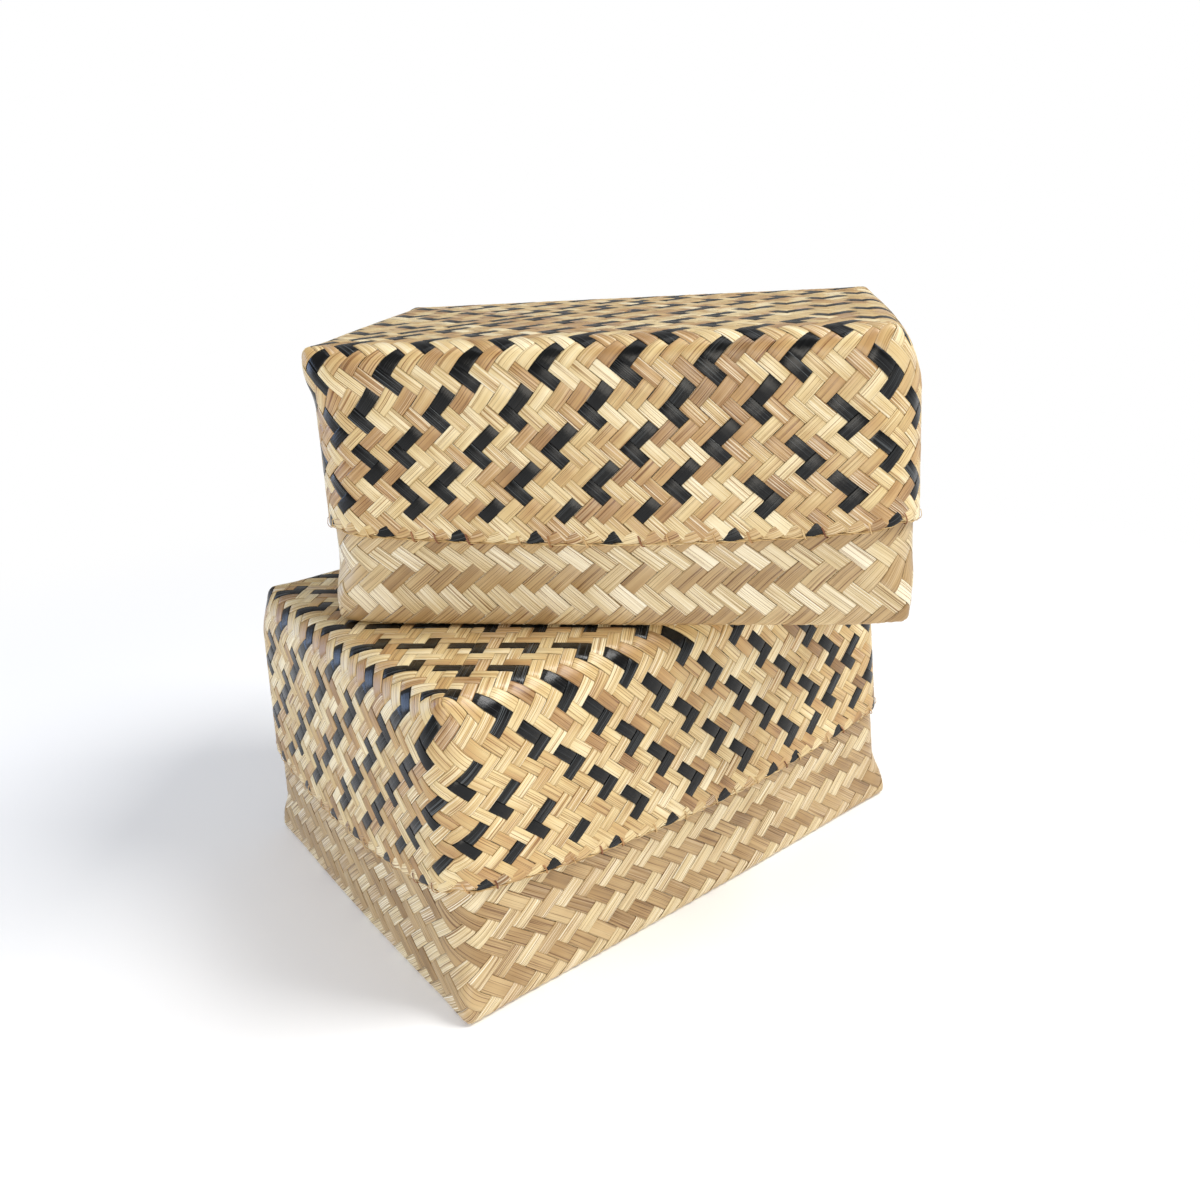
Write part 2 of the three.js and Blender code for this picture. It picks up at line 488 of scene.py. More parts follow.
def add_node(
    tree: bpy.types.NodeTree,
    kind: str,
    inputs: dict[str | int, object] | None = None,
    stops: Sequence[tuple[float, str]] = (),
    **settings: object,
) -> bpy.types.Node:
    """Adds a shader node.

    Args:
        tree: The node tree.
        kind: The node's type, without the ShaderNode in front.
        inputs: A value for each input, by its name or number, or a socket to link, or a node
            whose first output is linked.
        stops: Places on a colour ramp, with their sRGB hex colours.
        **settings: Properties of the node.

    Returns:
        The node.
    """
    node = tree.nodes.new(f"ShaderNode{kind}")
    for name, value in settings.items():
        setattr(node, name, value)
    for name, value in (inputs or {}).items():
        source = value.outputs[0] if isinstance(value, bpy.types.Node) else value
        if isinstance(source, bpy.types.NodeSocket):
            tree.links.new(source, node.inputs[name])
        else:
            node.inputs[name].default_value = value
    for index, (place, colour) in enumerate(stops):
        elements = node.color_ramp.elements
        element = elements[index] if index < 2 else elements.new(place)
        element.position = place
        element.color = linear(colour)
    return node


def clear_nodes(owner: bpy.types.Material | bpy.types.World) -> Callable[..., bpy.types.Node]:
    """Empties the node tree of a material or a world.

    Args:
        owner: The material or the world.

    Returns:
        The function that adds a node to this tree.
    """
    owner.use_nodes = True
    owner.node_tree.nodes.clear()
    return partial(add_node, owner.node_tree)


@dataclass(frozen=True)
class SplitBamboo:
    """Bamboo culm, split and shaved to thin strips by hand.

    The split follows the fibres, so each strip shows fine straight lines along its length. The
    outer skin is left on some strips, which gives a soft sheen, and strips from different culms
    and depths range from cream to honey brown.
    """

    name: str
    stops: tuple[tuple[float, str], ...]
    roughness: float = 0.4
    # How much rougher the soft pale pith is than the dense fibre beside it.
    roughness_range: float = 0.24
    gloss: float = 0.65
    # Colours that darken the lines between the fibres, and the painted shade where a strip
    # dives under a neighbour and along its edges.
    line_colour: str = "#a98a68"
    crevice_shade: str = "#b2b2b2"
    edge: str = "#f0f0f0"
    # Pith shows as pale lines between the fibres where a strip was split deep in the culm.
    pith: str = "#fdf6e0"
    # How far the tone strays along a strip, as a share of the whole range of tones.
    drift: float = 0.6
    # Spacing of the fibre lines across a strip, and how long a line runs, in millimetres.
    fibre_spacing: float = 0.45
    fibre_run: float = 70.0
    # Length of the patches of weathering in millimetres, and the bands' spacing in fibre lines.
    patch_length: float = 20.0
    lines_to_a_band: float = 7.0
    # Where the fibre noise turns to pith, and where it is fully pale.
    pith_from: float = 0.54
    pith_to: float = 0.64
    # Depth of the lines between the fibres, in metres.
    fibre_relief: float = 0.00012

    @cache
    def build(self) -> bpy.types.Material:
        """Builds the material from the strips' grain and tone attributes.

        Returns:
            The material, which is made once.
        """
        material = bpy.data.materials.new(self.name)
        add = clear_nodes(material)
        grain, tone, across = (
            add("Attribute", attribute_name=name) for name in ("grain", "tone", "across")
        )
        tones = add("SeparateColor", {0: tone})

        # Noise drawn out along the strip: fibres, bands of them that run half as long again, and
        # patches of weathering that are wider than a strip.
        waves = []
        for run, spacing, detail in (
            (self.fibre_run, self.fibre_spacing, 2.0),
            (self.fibre_run * 1.5, self.fibre_spacing * self.lines_to_a_band, 1.0),
            (self.patch_length, self.patch_length * 1.5, 1.0),
        ):
            inputs = {0: grain.outputs["Vector"], 1: (1 / run, 1 / spacing, 1.0)}
            place = add("VectorMath", inputs, operation="MULTIPLY")
            inputs = {"Vector": place, "Scale": 1.0, "Detail": detail, "Roughness": 0.6}
            waves.append(add("TexNoise", inputs))
        fibre, band, patch = waves

        # The tone of the strip, shifted by the bands and the patches.
        shade = tones
        for wave in (band, patch):
            inputs = {0: wave, 1: self.drift, 2: -self.drift / 2}
            stray = add("Math", inputs, operation="MULTIPLY_ADD")
            shade = add("Math", {0: shade, 1: stray}, operation="ADD", use_clamp=True)
        base = add("ValToRGB", {0: shade}, self.stops)
        pale = add("MapRange", {0: fibre, 1: self.pith_from, 2: self.pith_to})
        shown = add("Math", {0: pale, 1: tone.outputs["Alpha"]}, operation="MULTIPLY")
        mix = add("Mix", {0: shown, 6: base, 7: linear(self.pith)}, data_type="RGBA")
        # Darker lines lie between the fibres. Painted shade darkens the colour where a strip dives
        # under its neighbour, and along its edges.
        for source, stops in (
            (fibre, ((0.35, self.line_colour), (0.45, "#f5f5f5"), (0.52, "#ffffff"))),
            (tones.outputs[1], ((0.4, self.crevice_shade), (0.56, "#ffffff"))),
            (tones.outputs[2], ((0.88, "#ffffff"), (1.0, self.edge))),
        ):
            inputs = {0: 1.0, 6: mix.outputs[2], 7: add("ValToRGB", {0: source}, stops)}
            mix = add("Mix", inputs, data_type="RGBA", blend_type="MULTIPLY")
        lowest = self.roughness - self.roughness_range / 2
        rough = add("Math", {0: fibre, 1: self.roughness_range, 2: lowest}, operation="MULTIPLY_ADD")
        # The fibres spread a highlight across the strip, so strips that run different ways
        # catch the light differently.
        to_world = {"vector_type": "VECTOR", "convert_from": "OBJECT", "convert_to": "WORLD"}
        tangent = add("VectorTransform", {0: across.outputs["Vector"]}, **to_world)
        bump = add("Bump", {"Strength": 0.7, "Distance": self.fibre_relief, "Height": fibre})
        inputs = {
            "Base Color": mix.outputs[2],
            "Roughness": rough,
            "Specular IOR Level": self.gloss,
            "Anisotropic": 0.6,
            "Tangent": tangent,
            "Normal": bump,
        }
        add("OutputMaterial", {"Surface": add("BsdfPrincipled", inputs)})
        return material


LID_STRIP = SplitBamboo(
    "split_bamboo_satin",
    (
        (0.0, "#f9e9c0"),
        (0.25, "#e6ce98"),
        (0.45, "#d3b47c"),
        (0.62, "#c6a06a"),
        (0.8, "#b08857"),
        (1.0, "#927045"),
    ),
)
# Dyed black in a bath: the skin takes less dye, so the fibres show as fine paler lines.
DYED_STRIP = SplitBamboo(
    "black_dyed_bamboo",
    ((0.0, "#090a0b"), (0.5, "#0e0f10"), (0.8, "#151616"), (1.0, "#22211f")),
    roughness=0.24,
    gloss=0.3,
    line_colour="#808080",
    # Painted shade under a neighbour and along the edges.
    crevice_shade="#999999",
    edge="#cccccc",
    pith="#5d6265",
)
TRAY_STRIP = SplitBamboo(
    "split_bamboo_inner",
    ((0.0, "#f9edcf"), (0.3, "#dfca9b"), (0.55, "#c7aa7b"), (0.8, "#aa895a"), (1.0, "#8c6d45")),
    line_colour="#9c7f5f",
    # Painted shade under a neighbour and along the edges, fainter than on the lids.
    crevice_shade="#e6e6e6",
    edge="#fcfcfc",
    pith="#fffaea",
    drift=0.36,
)
LINING_STRIP = SplitBamboo(
    "split_bamboo_lining",
    ((0.0, "#ecdab2"), (0.5, "#d8bc88"), (1.0, "#b39363")),
    roughness=0.58,
    gloss=0.3,
)
TWINE = SplitBamboo(
    "twisted_fibre_twine",
    ((0.0, "#ecd8aa"), (0.5, "#d6b680"), (1.0, "#a98655")),
    roughness=0.6,
    gloss=0.3,
    fibre_spacing=0.35,
    fibre_run=4.0,
)
STITCH = SplitBamboo(
    "split_vine_stitch",
    ((0.0, "#dcc08e"), (0.45, "#c79d69"), (0.75, "#9c6a48"), (1.0, "#7a4a33")),
    roughness=0.5,
    gloss=0.4,
    fibre_spacing=0.4,
    fibre_run=5.0,
)


@dataclass(frozen=True)
class BambooSplint:
    """A flat bamboo splint, shaved smooth and bent to a hoop, with its grain along the hoop."""

    name: str = "bent_bamboo_splint"
    light: str = "#c9a470"
    dark: str = "#94703f"
    # Lines to a metre: about 50 mm long around the hoop, and 0.7 mm apart up it.
    grain: tuple[float, float, float] = (20.0, 20.0, 1400.0)

    @cache
    def build(self) -> bpy.types.Material:
        """Builds the material, with lines that stay level around the hoop.

        Returns:
            The material, which is made once.
        """
        material = bpy.data.materials.new(self.name)
        add = clear_nodes(material)
        inputs = {0: add("TexCoord").outputs["Object"], 1: self.grain}
        place = add("VectorMath", inputs, operation="MULTIPLY")
        lines = add("TexNoise", {"Vector": place, "Scale": 1.0, "Detail": 3.0})
        inputs = {
            "Base Color": add("ValToRGB", {0: lines}, ((0.3, self.dark), (0.65, self.light))),
            "Roughness": 0.5,
            "Normal": add("Bump", {"Strength": 0.6, "Distance": 0.0001, "Height": lines}),
        }
        add("OutputMaterial", {"Surface": add("BsdfPrincipled", inputs)})
        return material


@dataclass(frozen=True)
class StudioPaper:
    """White background paper, matte, that keeps the object's shadow and fades to plain white."""

    name: str = "white_paper"
    colour: str = "#f6f6f6"
    # The paper's own brightness, which keeps it white where the soft light is low.
    glow: float = 0.11
    # The shadow falls to the left, so the paper clears to white around a point on that side.
    centre: tuple[float, float, float] = (-0.2, -0.1, 0.0)
    clear_from: float = 0.35
    clear_to: float = 0.95

    def build(self) -> bpy.types.Material:
        """Builds the material, which turns to plain white away from the set.

        Returns:
            The material.
        """
        material = bpy.data.materials.new(self.name)
        add = clear_nodes(material)
        inputs = {
            "Base Color": linear(self.colour),
            "Roughness": 0.9,
            "Specular IOR Level": 0.1,
            "Emission Color": linear("#ffffff"),
            "Emission Strength": self.glow,
        }
        paper = add("BsdfPrincipled", inputs)
        inputs = {0: add("TexCoord").outputs["Object"], 1: self.centre}
        distance = add("VectorMath", inputs, operation="DISTANCE").outputs["Value"]
        inputs = {0: distance, 1: self.clear_from, 2: self.clear_to}
        far = add("MapRange", inputs, interpolation_type="SMOOTHSTEP")
        white = add("Emission", {"Strength": 1.0})
        add("OutputMaterial", {"Surface": add("MixShader", {0: far, 1: paper, 2: white})})
        return material


@dataclass
class Rings:
    """A run of rings around a strip or a cord, with what its material needs to know.

    The grain holds the distances along and across in millimetres and a seed. The tone holds the
    strip's tone, its height in the weave and how near its edge a point is, from which the
    material paints shade, and how much pith shows.
    """

    points: Array
    grain: Array
    across: Array
    tone: Array
    closed: bool = False

    @property
    def arrays(self) -> tuple[Array, ...]:
        """The points, and the values that belong to them."""
        return self.points, self.grain, self.across, self.tone

    def cut(self, first: int, last: int) -> Rings:
        """The rings from the first to the last, both included."""
        return Rings(*(array[first : last + 1] for array in self.arrays))

    def rows(self) -> list[Array]:
        """The same arrays, with one row for each point."""
        shapes = [(*self.points.shape[:2], array.shape[-1]) for array in self.arrays]
        spread = map(np.broadcast_to, self.arrays, shapes)
        return [array.reshape(-1, array.shape[-1]) for array in spread]

    def faces(self) -> Array:
        """Joins the rings with faces.

        Returns:
            Four point numbers for each face.
        """
        rings, sides = self.points.shape[:2]
        ring = np.arange(rings if self.closed else rings - 1)[:, None]
        side = np.arange(sides)
        after, beside = (ring + 1) % rings * sides, (side + 1) % sides
        ring = ring * sides
        return columns(ring + side, after + side, after + beside, ring + beside).reshape(-1, 4)


def make_piece(name: str, tubes: Sequence[Rings], place: Matrix) -> bpy.types.Object:
    """Makes a mesh object of strips or plies.

    Args:
        name: The object's name.
        tubes: The rings of each strip or ply.
        place: Where the basket stands, in metres.

    Returns:
        The object, with its vertices in the part's frame.
    """
    sizes = [tube.points[..., 0].size for tube in tubes]
    starts = np.cumsum(sizes) - sizes
    faces = np.concatenate([tube.faces() + start for tube, start in zip(tubes, starts)])
    points, grain, across, tone = map(np.concatenate, zip(*(tube.rows() for tube in tubes)))
    mesh = bpy.data.meshes.new(name)
    mesh.vertices.add(len(points))
    mesh.vertices.foreach_set("co", (points.astype(np.float32) * MM).ravel())
    mesh.loops.add(faces.size)
    mesh.loops.foreach_set("vertex_index", faces.astype(np.int32).ravel())
    mesh.polygons.add(len(faces))
    mesh.polygons.foreach_set("loop_start", np.arange(0, faces.size, 4, dtype=np.int32))
    mesh.update(calc_edges=True)
    mesh.shade_smooth()
    for label, rows, kind, key in (
        ("grain", grain, "FLOAT_VECTOR", "vector"),
        ("across", across @ np.array(place.to_3x3()).T, "FLOAT_VECTOR", "vector"),
        ("tone", tone, "FLOAT_COLOR", "color"),
    ):
        values = mesh.attributes.new(label, kind, "POINT").data
        values.foreach_set(key, rows.astype(np.float32).ravel())
    mesh.transform(place)
    piece = bpy.data.objects.new(name, mesh)
    bpy.context.scene.collection.objects.link(piece)
    return piece


@dataclass(frozen=True)
class StripStock:
    """The cut of a layer's strips and how deep they are beaten into the weave."""

    # The strip's thickness, how much of it is shaved off the upper edges, and how far the strip
    # rises and dips.
    thickness: float = 0.36
    crown: float = 0.1
    crimp: float = 0.32
    # The share of the room between its neighbours that a strip fills.
    fill: float = 1.0
    middle_inset: float = WEAVE_THICKNESS / 2
    # Half the length of the flat part over a crossing, in pitches.
    flat: float = 0.19
    # Height where a strip meets the one that it dives under, from -1 to 1.
    dive: float = -0.1
    # How far the surface may turn from one ring to the next in degrees, unless that takes more
    # than this many steps.
    bend_limit: float = 7.0
    bend_steps: int = 6
    cross_section: tuple[float, ...] = (-1.0, -0.84, 0.0, 0.84, 1.0)
    # A strip wanders sideways in a long and a short wave, by a share of its half width, and is
    # beaten in unevenly in a third. Each wave's second number is its radians to a pitch.
    waves: tuple[tuple[float, float], ...] = ((0.035, 0.9), (0.02, 2.3), (0.12, 3.1))
    # How unevenly it is beaten in from ring to ring.
    jitter: float = 0.1
    narrowest: float = 0.95
    # Where the net stretches, the fibre lines spread no further than this share.
    grain_stretch: float = 1.2

    def profile(self) -> tuple[Array, Array]:
        """Gives the outline of the cross-section.

        Returns:
            The points' places across the strip, as shares of its half width, and their heights.
        """
        section = np.array(self.cross_section)
        top = self.thickness / 2 - self.crown * section**4
        return np.append(section, section[[-1, 0]]), np.append(top, [-self.thickness / 2] * 2)


@dataclass(frozen=True)
class WeavePlan:
    """How a layer is woven: which rows lie on top, which strips are dyed, the tones and a painted
    sheen.
    """

    # Pitches along the length, along the width and down a wall.
    pitches: tuple[int, int, int]
    top_rows: tuple[int, int]
    # Every fourth strip of a family is dyed, from the number given here.
    dyed: tuple[tuple[Family, int], ...] = ()
    # Strips that break that rule.
    swapped: tuple[tuple[Family, int], ...] = ()
    # Strips that slope this way on a wall are painted paler by the contrast, and the others darker:
    # a painted sheen that stands in for light caught along the fibres.
    painted_sheen_slope: Slope = Slope.FORWARD
    painted_sheen_contrast: float = 0.08
    tone_middle: float = 0.42
    tone_spread: float = 0.19
    # The most pith that shows, and how much more of it shows on the painted sheen slope, as
    # painted sheen.
    pith: tuple[float, float] = (0.55, 0.3)
    # How far from the rim the natural ends that are turned back reach; 0 leaves them and the
    # curled ends out.
    turned_rows: float = 1.5
    # How far short of the rim the strips end, in millimetres.
    short_by: float = 0.0
    stock: StripStock = StripStock()


def lining_plan(pitches: tuple[int, int, int]) -> WeavePlan:
    """Plans a lining, a plain weave of wider strips that ends above the hoop.

    Args:
        pitches: Pitches along the length, along the width and down a wall.

    Returns:
        The plan.
    """
    stock = StripStock(
        crown=0.06,
        crimp=0.22,
        fill=0.96,
        middle_inset=LINING_INSET + LINING_THICKNESS / 2,
        flat=0.14,
        cross_section=(-1.0, 0.0, 1.0),
    )
    return WeavePlan(
        pitches,
        top_rows=(0, 2),
        painted_sheen_contrast=0.06,
        tone_spread=0.16,
        turned_rows=0.0,
        short_by=HOOP_WIDTH + LAYER_GAP,
        stock=stock,
    )


@dataclass(frozen=True)
class Curl:
    """How the end of a strip curls over and follows the rim, in pitches."""

    rings: int = 9
    # How far past the strip's own place it starts, and how far back along the rim it reaches.
    start: float = 0.45
    reach: tuple[float, float] = (1.15, 1.4)
    # The tip's distance from the rim, and how much further away the end starts.
    tip: float = 0.09
    drop: tuple[float, float] = (0.36, 0.48)
    half_width: float = 0.36
    width_range: tuple[float, float] = (0.9, 1.05)
    narrowing: float = 0.8
    # The end comes out from under its neighbour, and its tip is tucked in behind the twine.
    height_at: tuple[float, ...] = (0, 0.2, 0.6, 1)
    heights: tuple[float, ...] = (-0.5, 1.3, 1.2, -0.3)


@dataclass
class WovenLayer:
    """A woven layer of a tray or a lid: every strip as a ribbon over and under the others."""

    lattice: Lattice
    plan: WeavePlan
    seed: int
    curl: Curl = Curl()

    def end_row(self) -> float:
        """The row at which the strips are cut, in pitches from the closed end."""
        rows = self.lattice.rows
        return rows - rows * self.plan.short_by / self.lattice.form.rim_depth

    def is_dyed(self, run: Run) -> bool:
        """Whether a strip is one of the dyed ones."""
        in_order = (run.family, run.number % REPEAT) in self.plan.dyed
        return in_order != ((run.family, run.number) in self.plan.swapped)

    def stations(self, run: Run) -> tuple[Array, Array]:
        """Places the rings of a strip, closer together where the surface bends.

        Args:
            run: The strip's run.

        Returns:
            Pitches along the run, and the strip's height there from -1 to 1.
        """
        lattice, stock = self.lattice, self.plan.stock
        low, high = -self.end_row(), run.length + self.end_row()
        marks: list[tuple[float, float]] = []
        before: bool | None = None
        for crossing in range(int(np.ceil(2 * low)) - 1, int(np.floor(2 * high)) + 2):
            top = lattice.on_top(run, crossing, self.plan.top_rows)
            if before not in (None, top):
                marks.append(((crossing - 0.5) / 2, stock.dive))
            offsets = (-stock.flat, stock.flat) if top else (0.0,)
            marks += [(crossing / 2 + offset, 1.0 if top else -1.0) for offset in offsets]
            before = top
        places, height = np.array(marks).T
        low, high = low - END_MARGIN, high + END_MARGIN
        inside = places[(places > low + LEAST_STEP) & (places < high - LEAST_STEP)]
        rough = np.concatenate([[low], inside, [high]])

        spot = lattice.locate(run, rough)
        inset = stock.middle_inset
        outward = unit(lattice.point(*spot, inset) - lattice.point(*spot, inset + WALL_PROBE))
        bend = np.degrees(np.arccos(np.clip(dot(outward[1:], outward[:-1]), -1, 1)))
        pieces = np.clip(np.ceil(bend / stock.bend_limit), 1, stock.bend_steps).astype(int)
        spans = [
            np.linspace(start, stop, count, endpoint=False)
            for start, stop, count in zip(rough[:-1], rough[1:], pieces)
        ]
        along = np.concatenate([*spans, rough[-1:]])
        return along, np.interp(along, places, height)

    def rings(self, run: Run, rng: np.random.Generator) -> tuple[Array, Rings]:
        """Builds the rings of one strip.

        Args:
            run: The strip's run.
            rng: Source of the strip's own irregularities.

        Returns:
            The rings' places in pitches along the run, and the rings.
        """
        lattice, plan, stock = self.lattice, self.plan, self.plan.stock
        along, height = self.stations(run)
        inset = stock.middle_inset
        on_panel, a, b = lattice.locate(run, along)
        centre = lattice.point(on_panel, a, b, inset)

        # A ring's points lie along the lattice's other diagonal, so that a strip follows the
        # surface over its whole width and its cells end along the strips that cross it.
        on_last = along > run.length
        slope = np.where(on_last, run.slopes[1].value, run.slopes[0].value)
        side_a = np.where(on_last, -HALF_STRIP, HALF_STRIP)
        side_b = -np.where(on_panel, run.family.value, slope) * side_a

        def surface(share: Array, depth: float) -> Array:
            """Gives ring points on the surface, cut off at the strip's end.

            Args:
                share: Shares of the half width, for each ring.
                depth: Distance inside the outer face.

            Returns:
                The points.
            """
            ring_a = a[:, None] + share * side_a[:, None]
            ring_b = b[:, None] + share * side_b[:, None]
            over = np.where(on_panel[:, None], 0, np.maximum(ring_b - self.end_row(), 0))
            ring_a -= slope[:, None] * over
            return lattice.point(on_panel[:, None], ring_a, ring_b - over, depth)

        ends = surface(np.array([[-1.0, 1.0]]), inset)
        side = ends[:, 1] - ends[:, 0]
        normal = centre - lattice.point(on_panel, a, b, inset + WALL_PROBE)
        # The order around a ring in which the faces look outward.
        hand = np.sign(np.median(dot(side, np.cross(normal, np.gradient(centre, axis=0)))))

        # Small irregularities of a hand-made weave.
        phases = rng.uniform(0, 2 * np.pi, 3)
        slow, quick, uneven = (
            size * np.sin(along * pace + phase) for (size, pace), phase in zip(stock.waves, phases)
        )
        lift = 1 + uneven + rng.uniform(-stock.jitter, stock.jitter, len(along))
        width = stock.fill * rng.uniform(stock.narrowest, 1.0)

        across, profile = stock.profile()
        share = hand * (across * width + (slow + quick)[:, None])
        middle = surface(share, inset)
        outward = unit(middle - surface(share, inset + WALL_PROBE))
        rise = (stock.crimp * height * lift)[:, None] + profile

        steps = np.linalg.norm(np.diff(centre, axis=0), axis=1)
        length = np.append(0.0, np.cumsum(steps)) + rng.uniform(0, GRAIN_SPREAD)
        half = np.linalg.norm(side, axis=1)[:, None] / 2
        offset = across * np.minimum(half, stock.grain_stretch * np.median(half))
        grain = columns(length[:, None], offset, rng.uniform(0, SEED_SPREAD))

        # Painted sheen: strips on the painted sheen slope are made paler, with more pith, and the
        # others darker.
        sheen_leaning = [-1 if slope is plan.painted_sheen_slope else 1 for slope in run.slopes]
        lean = np.interp(along / run.length, (0, 1), sheen_leaning)[:, None]
        tone = plan.tone_middle + rng.normal(0, plan.tone_spread) + plan.painted_sheen_contrast * lean
        pith = plan.pith[0] * rng.uniform(0, 1) - plan.pith[1] * lean
        tones = columns(tone, (height[:, None] + 1) / 2, abs(across), pith)
        ring = middle + outward * rise[..., None]
        return along, Rings(ring, grain, unit(side)[:, None], np.clip(tones, 0, 1))

    def gather(self) -> dict[str, list[Rings]]:
        """Builds every strip.

        At the rim each strip is turned back over the ones that slope forward, so a natural end
        covers the last cells of every dyed strip that slopes forward. The ends of the strips
        that slope backward curl over and follow the rim.

        Returns:
            The strips of each group: natural ones by family, and dyed ones.
        """
        lattice, turned = self.lattice, self.plan.turned_rows
        rng = np.random.default_rng(self.seed)
        groups: dict[str, list[Rings]] = {}
        for run in lattice.runs():
            along, rings = self.rings(run, rng)
            natural = groups.setdefault(run.family.name.lower(), [])
            if not self.is_dyed(run):
                natural.append(rings)
                continue
            first, last = 0, len(along) - 1
            if run.slopes[0] is Slope.FORWARD:
                first = int(np.searchsorted(along, turned - lattice.rows))
            if run.slopes[1] is Slope.FORWARD:
                last = int(np.searchsorted(along, run.length + lattice.rows - turned))
            groups.setdefault("dyed", []).append(rings.cut(first, last))
            for start, stop in ((0, first), (last, len(along) - 1)):
                if stop > start:
                    natural.append(rings.cut(start, stop))
        for run in lattice.runs() if turned else ():
            group = groups["dyed" if self.is_dyed(run) else run.family.name.lower()]
            for slope, offset in zip(run.slopes, run.offsets):
                if slope is Slope.BACKWARD:
                    group.append(self.curled_end(offset + 0.5 - lattice.rows, rng))
        return groups

    def curled_end(self, at_rim: float, rng: np.random.Generator) -> Rings:
        """Builds one strip end that curls along the rim and narrows to its tip.

        Args:
            at_rim: Where the strip meets the rim, in pitches around the walls.
            rng: Source of the end's irregularities.

        Returns:
            The rings.
        """
        lattice, plan, stock, curl = self.lattice, self.plan, self.plan.stock, self.curl
        share = np.linspace(0, 1, curl.rings)
        reach, drop = rng.uniform(*curl.reach), rng.uniform(*curl.drop)
        around = at_rim + curl.start - reach * share
        down = lattice.rows - curl.tip - drop * (1 - share) ** 2
        aside = unit(columns(2 * drop * (1 - share), reach))
        half = curl.half_width * rng.uniform(*curl.width_range) * (1 - curl.narrowing * share**2)
        across, profile = stock.profile()
        ring_a = around[:, None] + across * (half * aside[:, 0])[:, None]
        ring_b = down[:, None] + across * (half * aside[:, 1])[:, None]
        inset = stock.middle_inset
        middle = lattice.wall_point(ring_a, ring_b, inset)
        outward = unit(middle - lattice.wall_point(ring_a, ring_b, inset + WALL_PROBE))
        height = np.interp(share, curl.height_at, curl.heights)
        ring = middle + outward * ((stock.crimp * height)[:, None] + profile)[..., None]
        last = len(stock.cross_section) - 1
        side = middle[:, last] - middle[:, 0]
        travel = np.gradient(middle[:, last // 2], axis=0)
        # The faces look outward.
        if np.median(dot(side, np.cross(outward[:, last // 2], travel))) < 0:
            ring = ring[::-1]
        offset = across * np.linalg.norm(side, axis=1)[:, None] / 2
        length = np.cumsum(np.linalg.norm(travel, axis=1)) + rng.uniform(0, GRAIN_SPREAD)
        grain = columns(length[:, None], offset, rng.uniform(0, SEED_SPREAD))
        tone = plan.tone_middle + rng.normal(0, plan.tone_spread)
        tones = columns(tone, 1.0, abs(across), plan.pith[0] * rng.uniform(0, 1))
        return Rings(ring, grain, unit(side)[:, None], np.clip(tones, 0, 1))


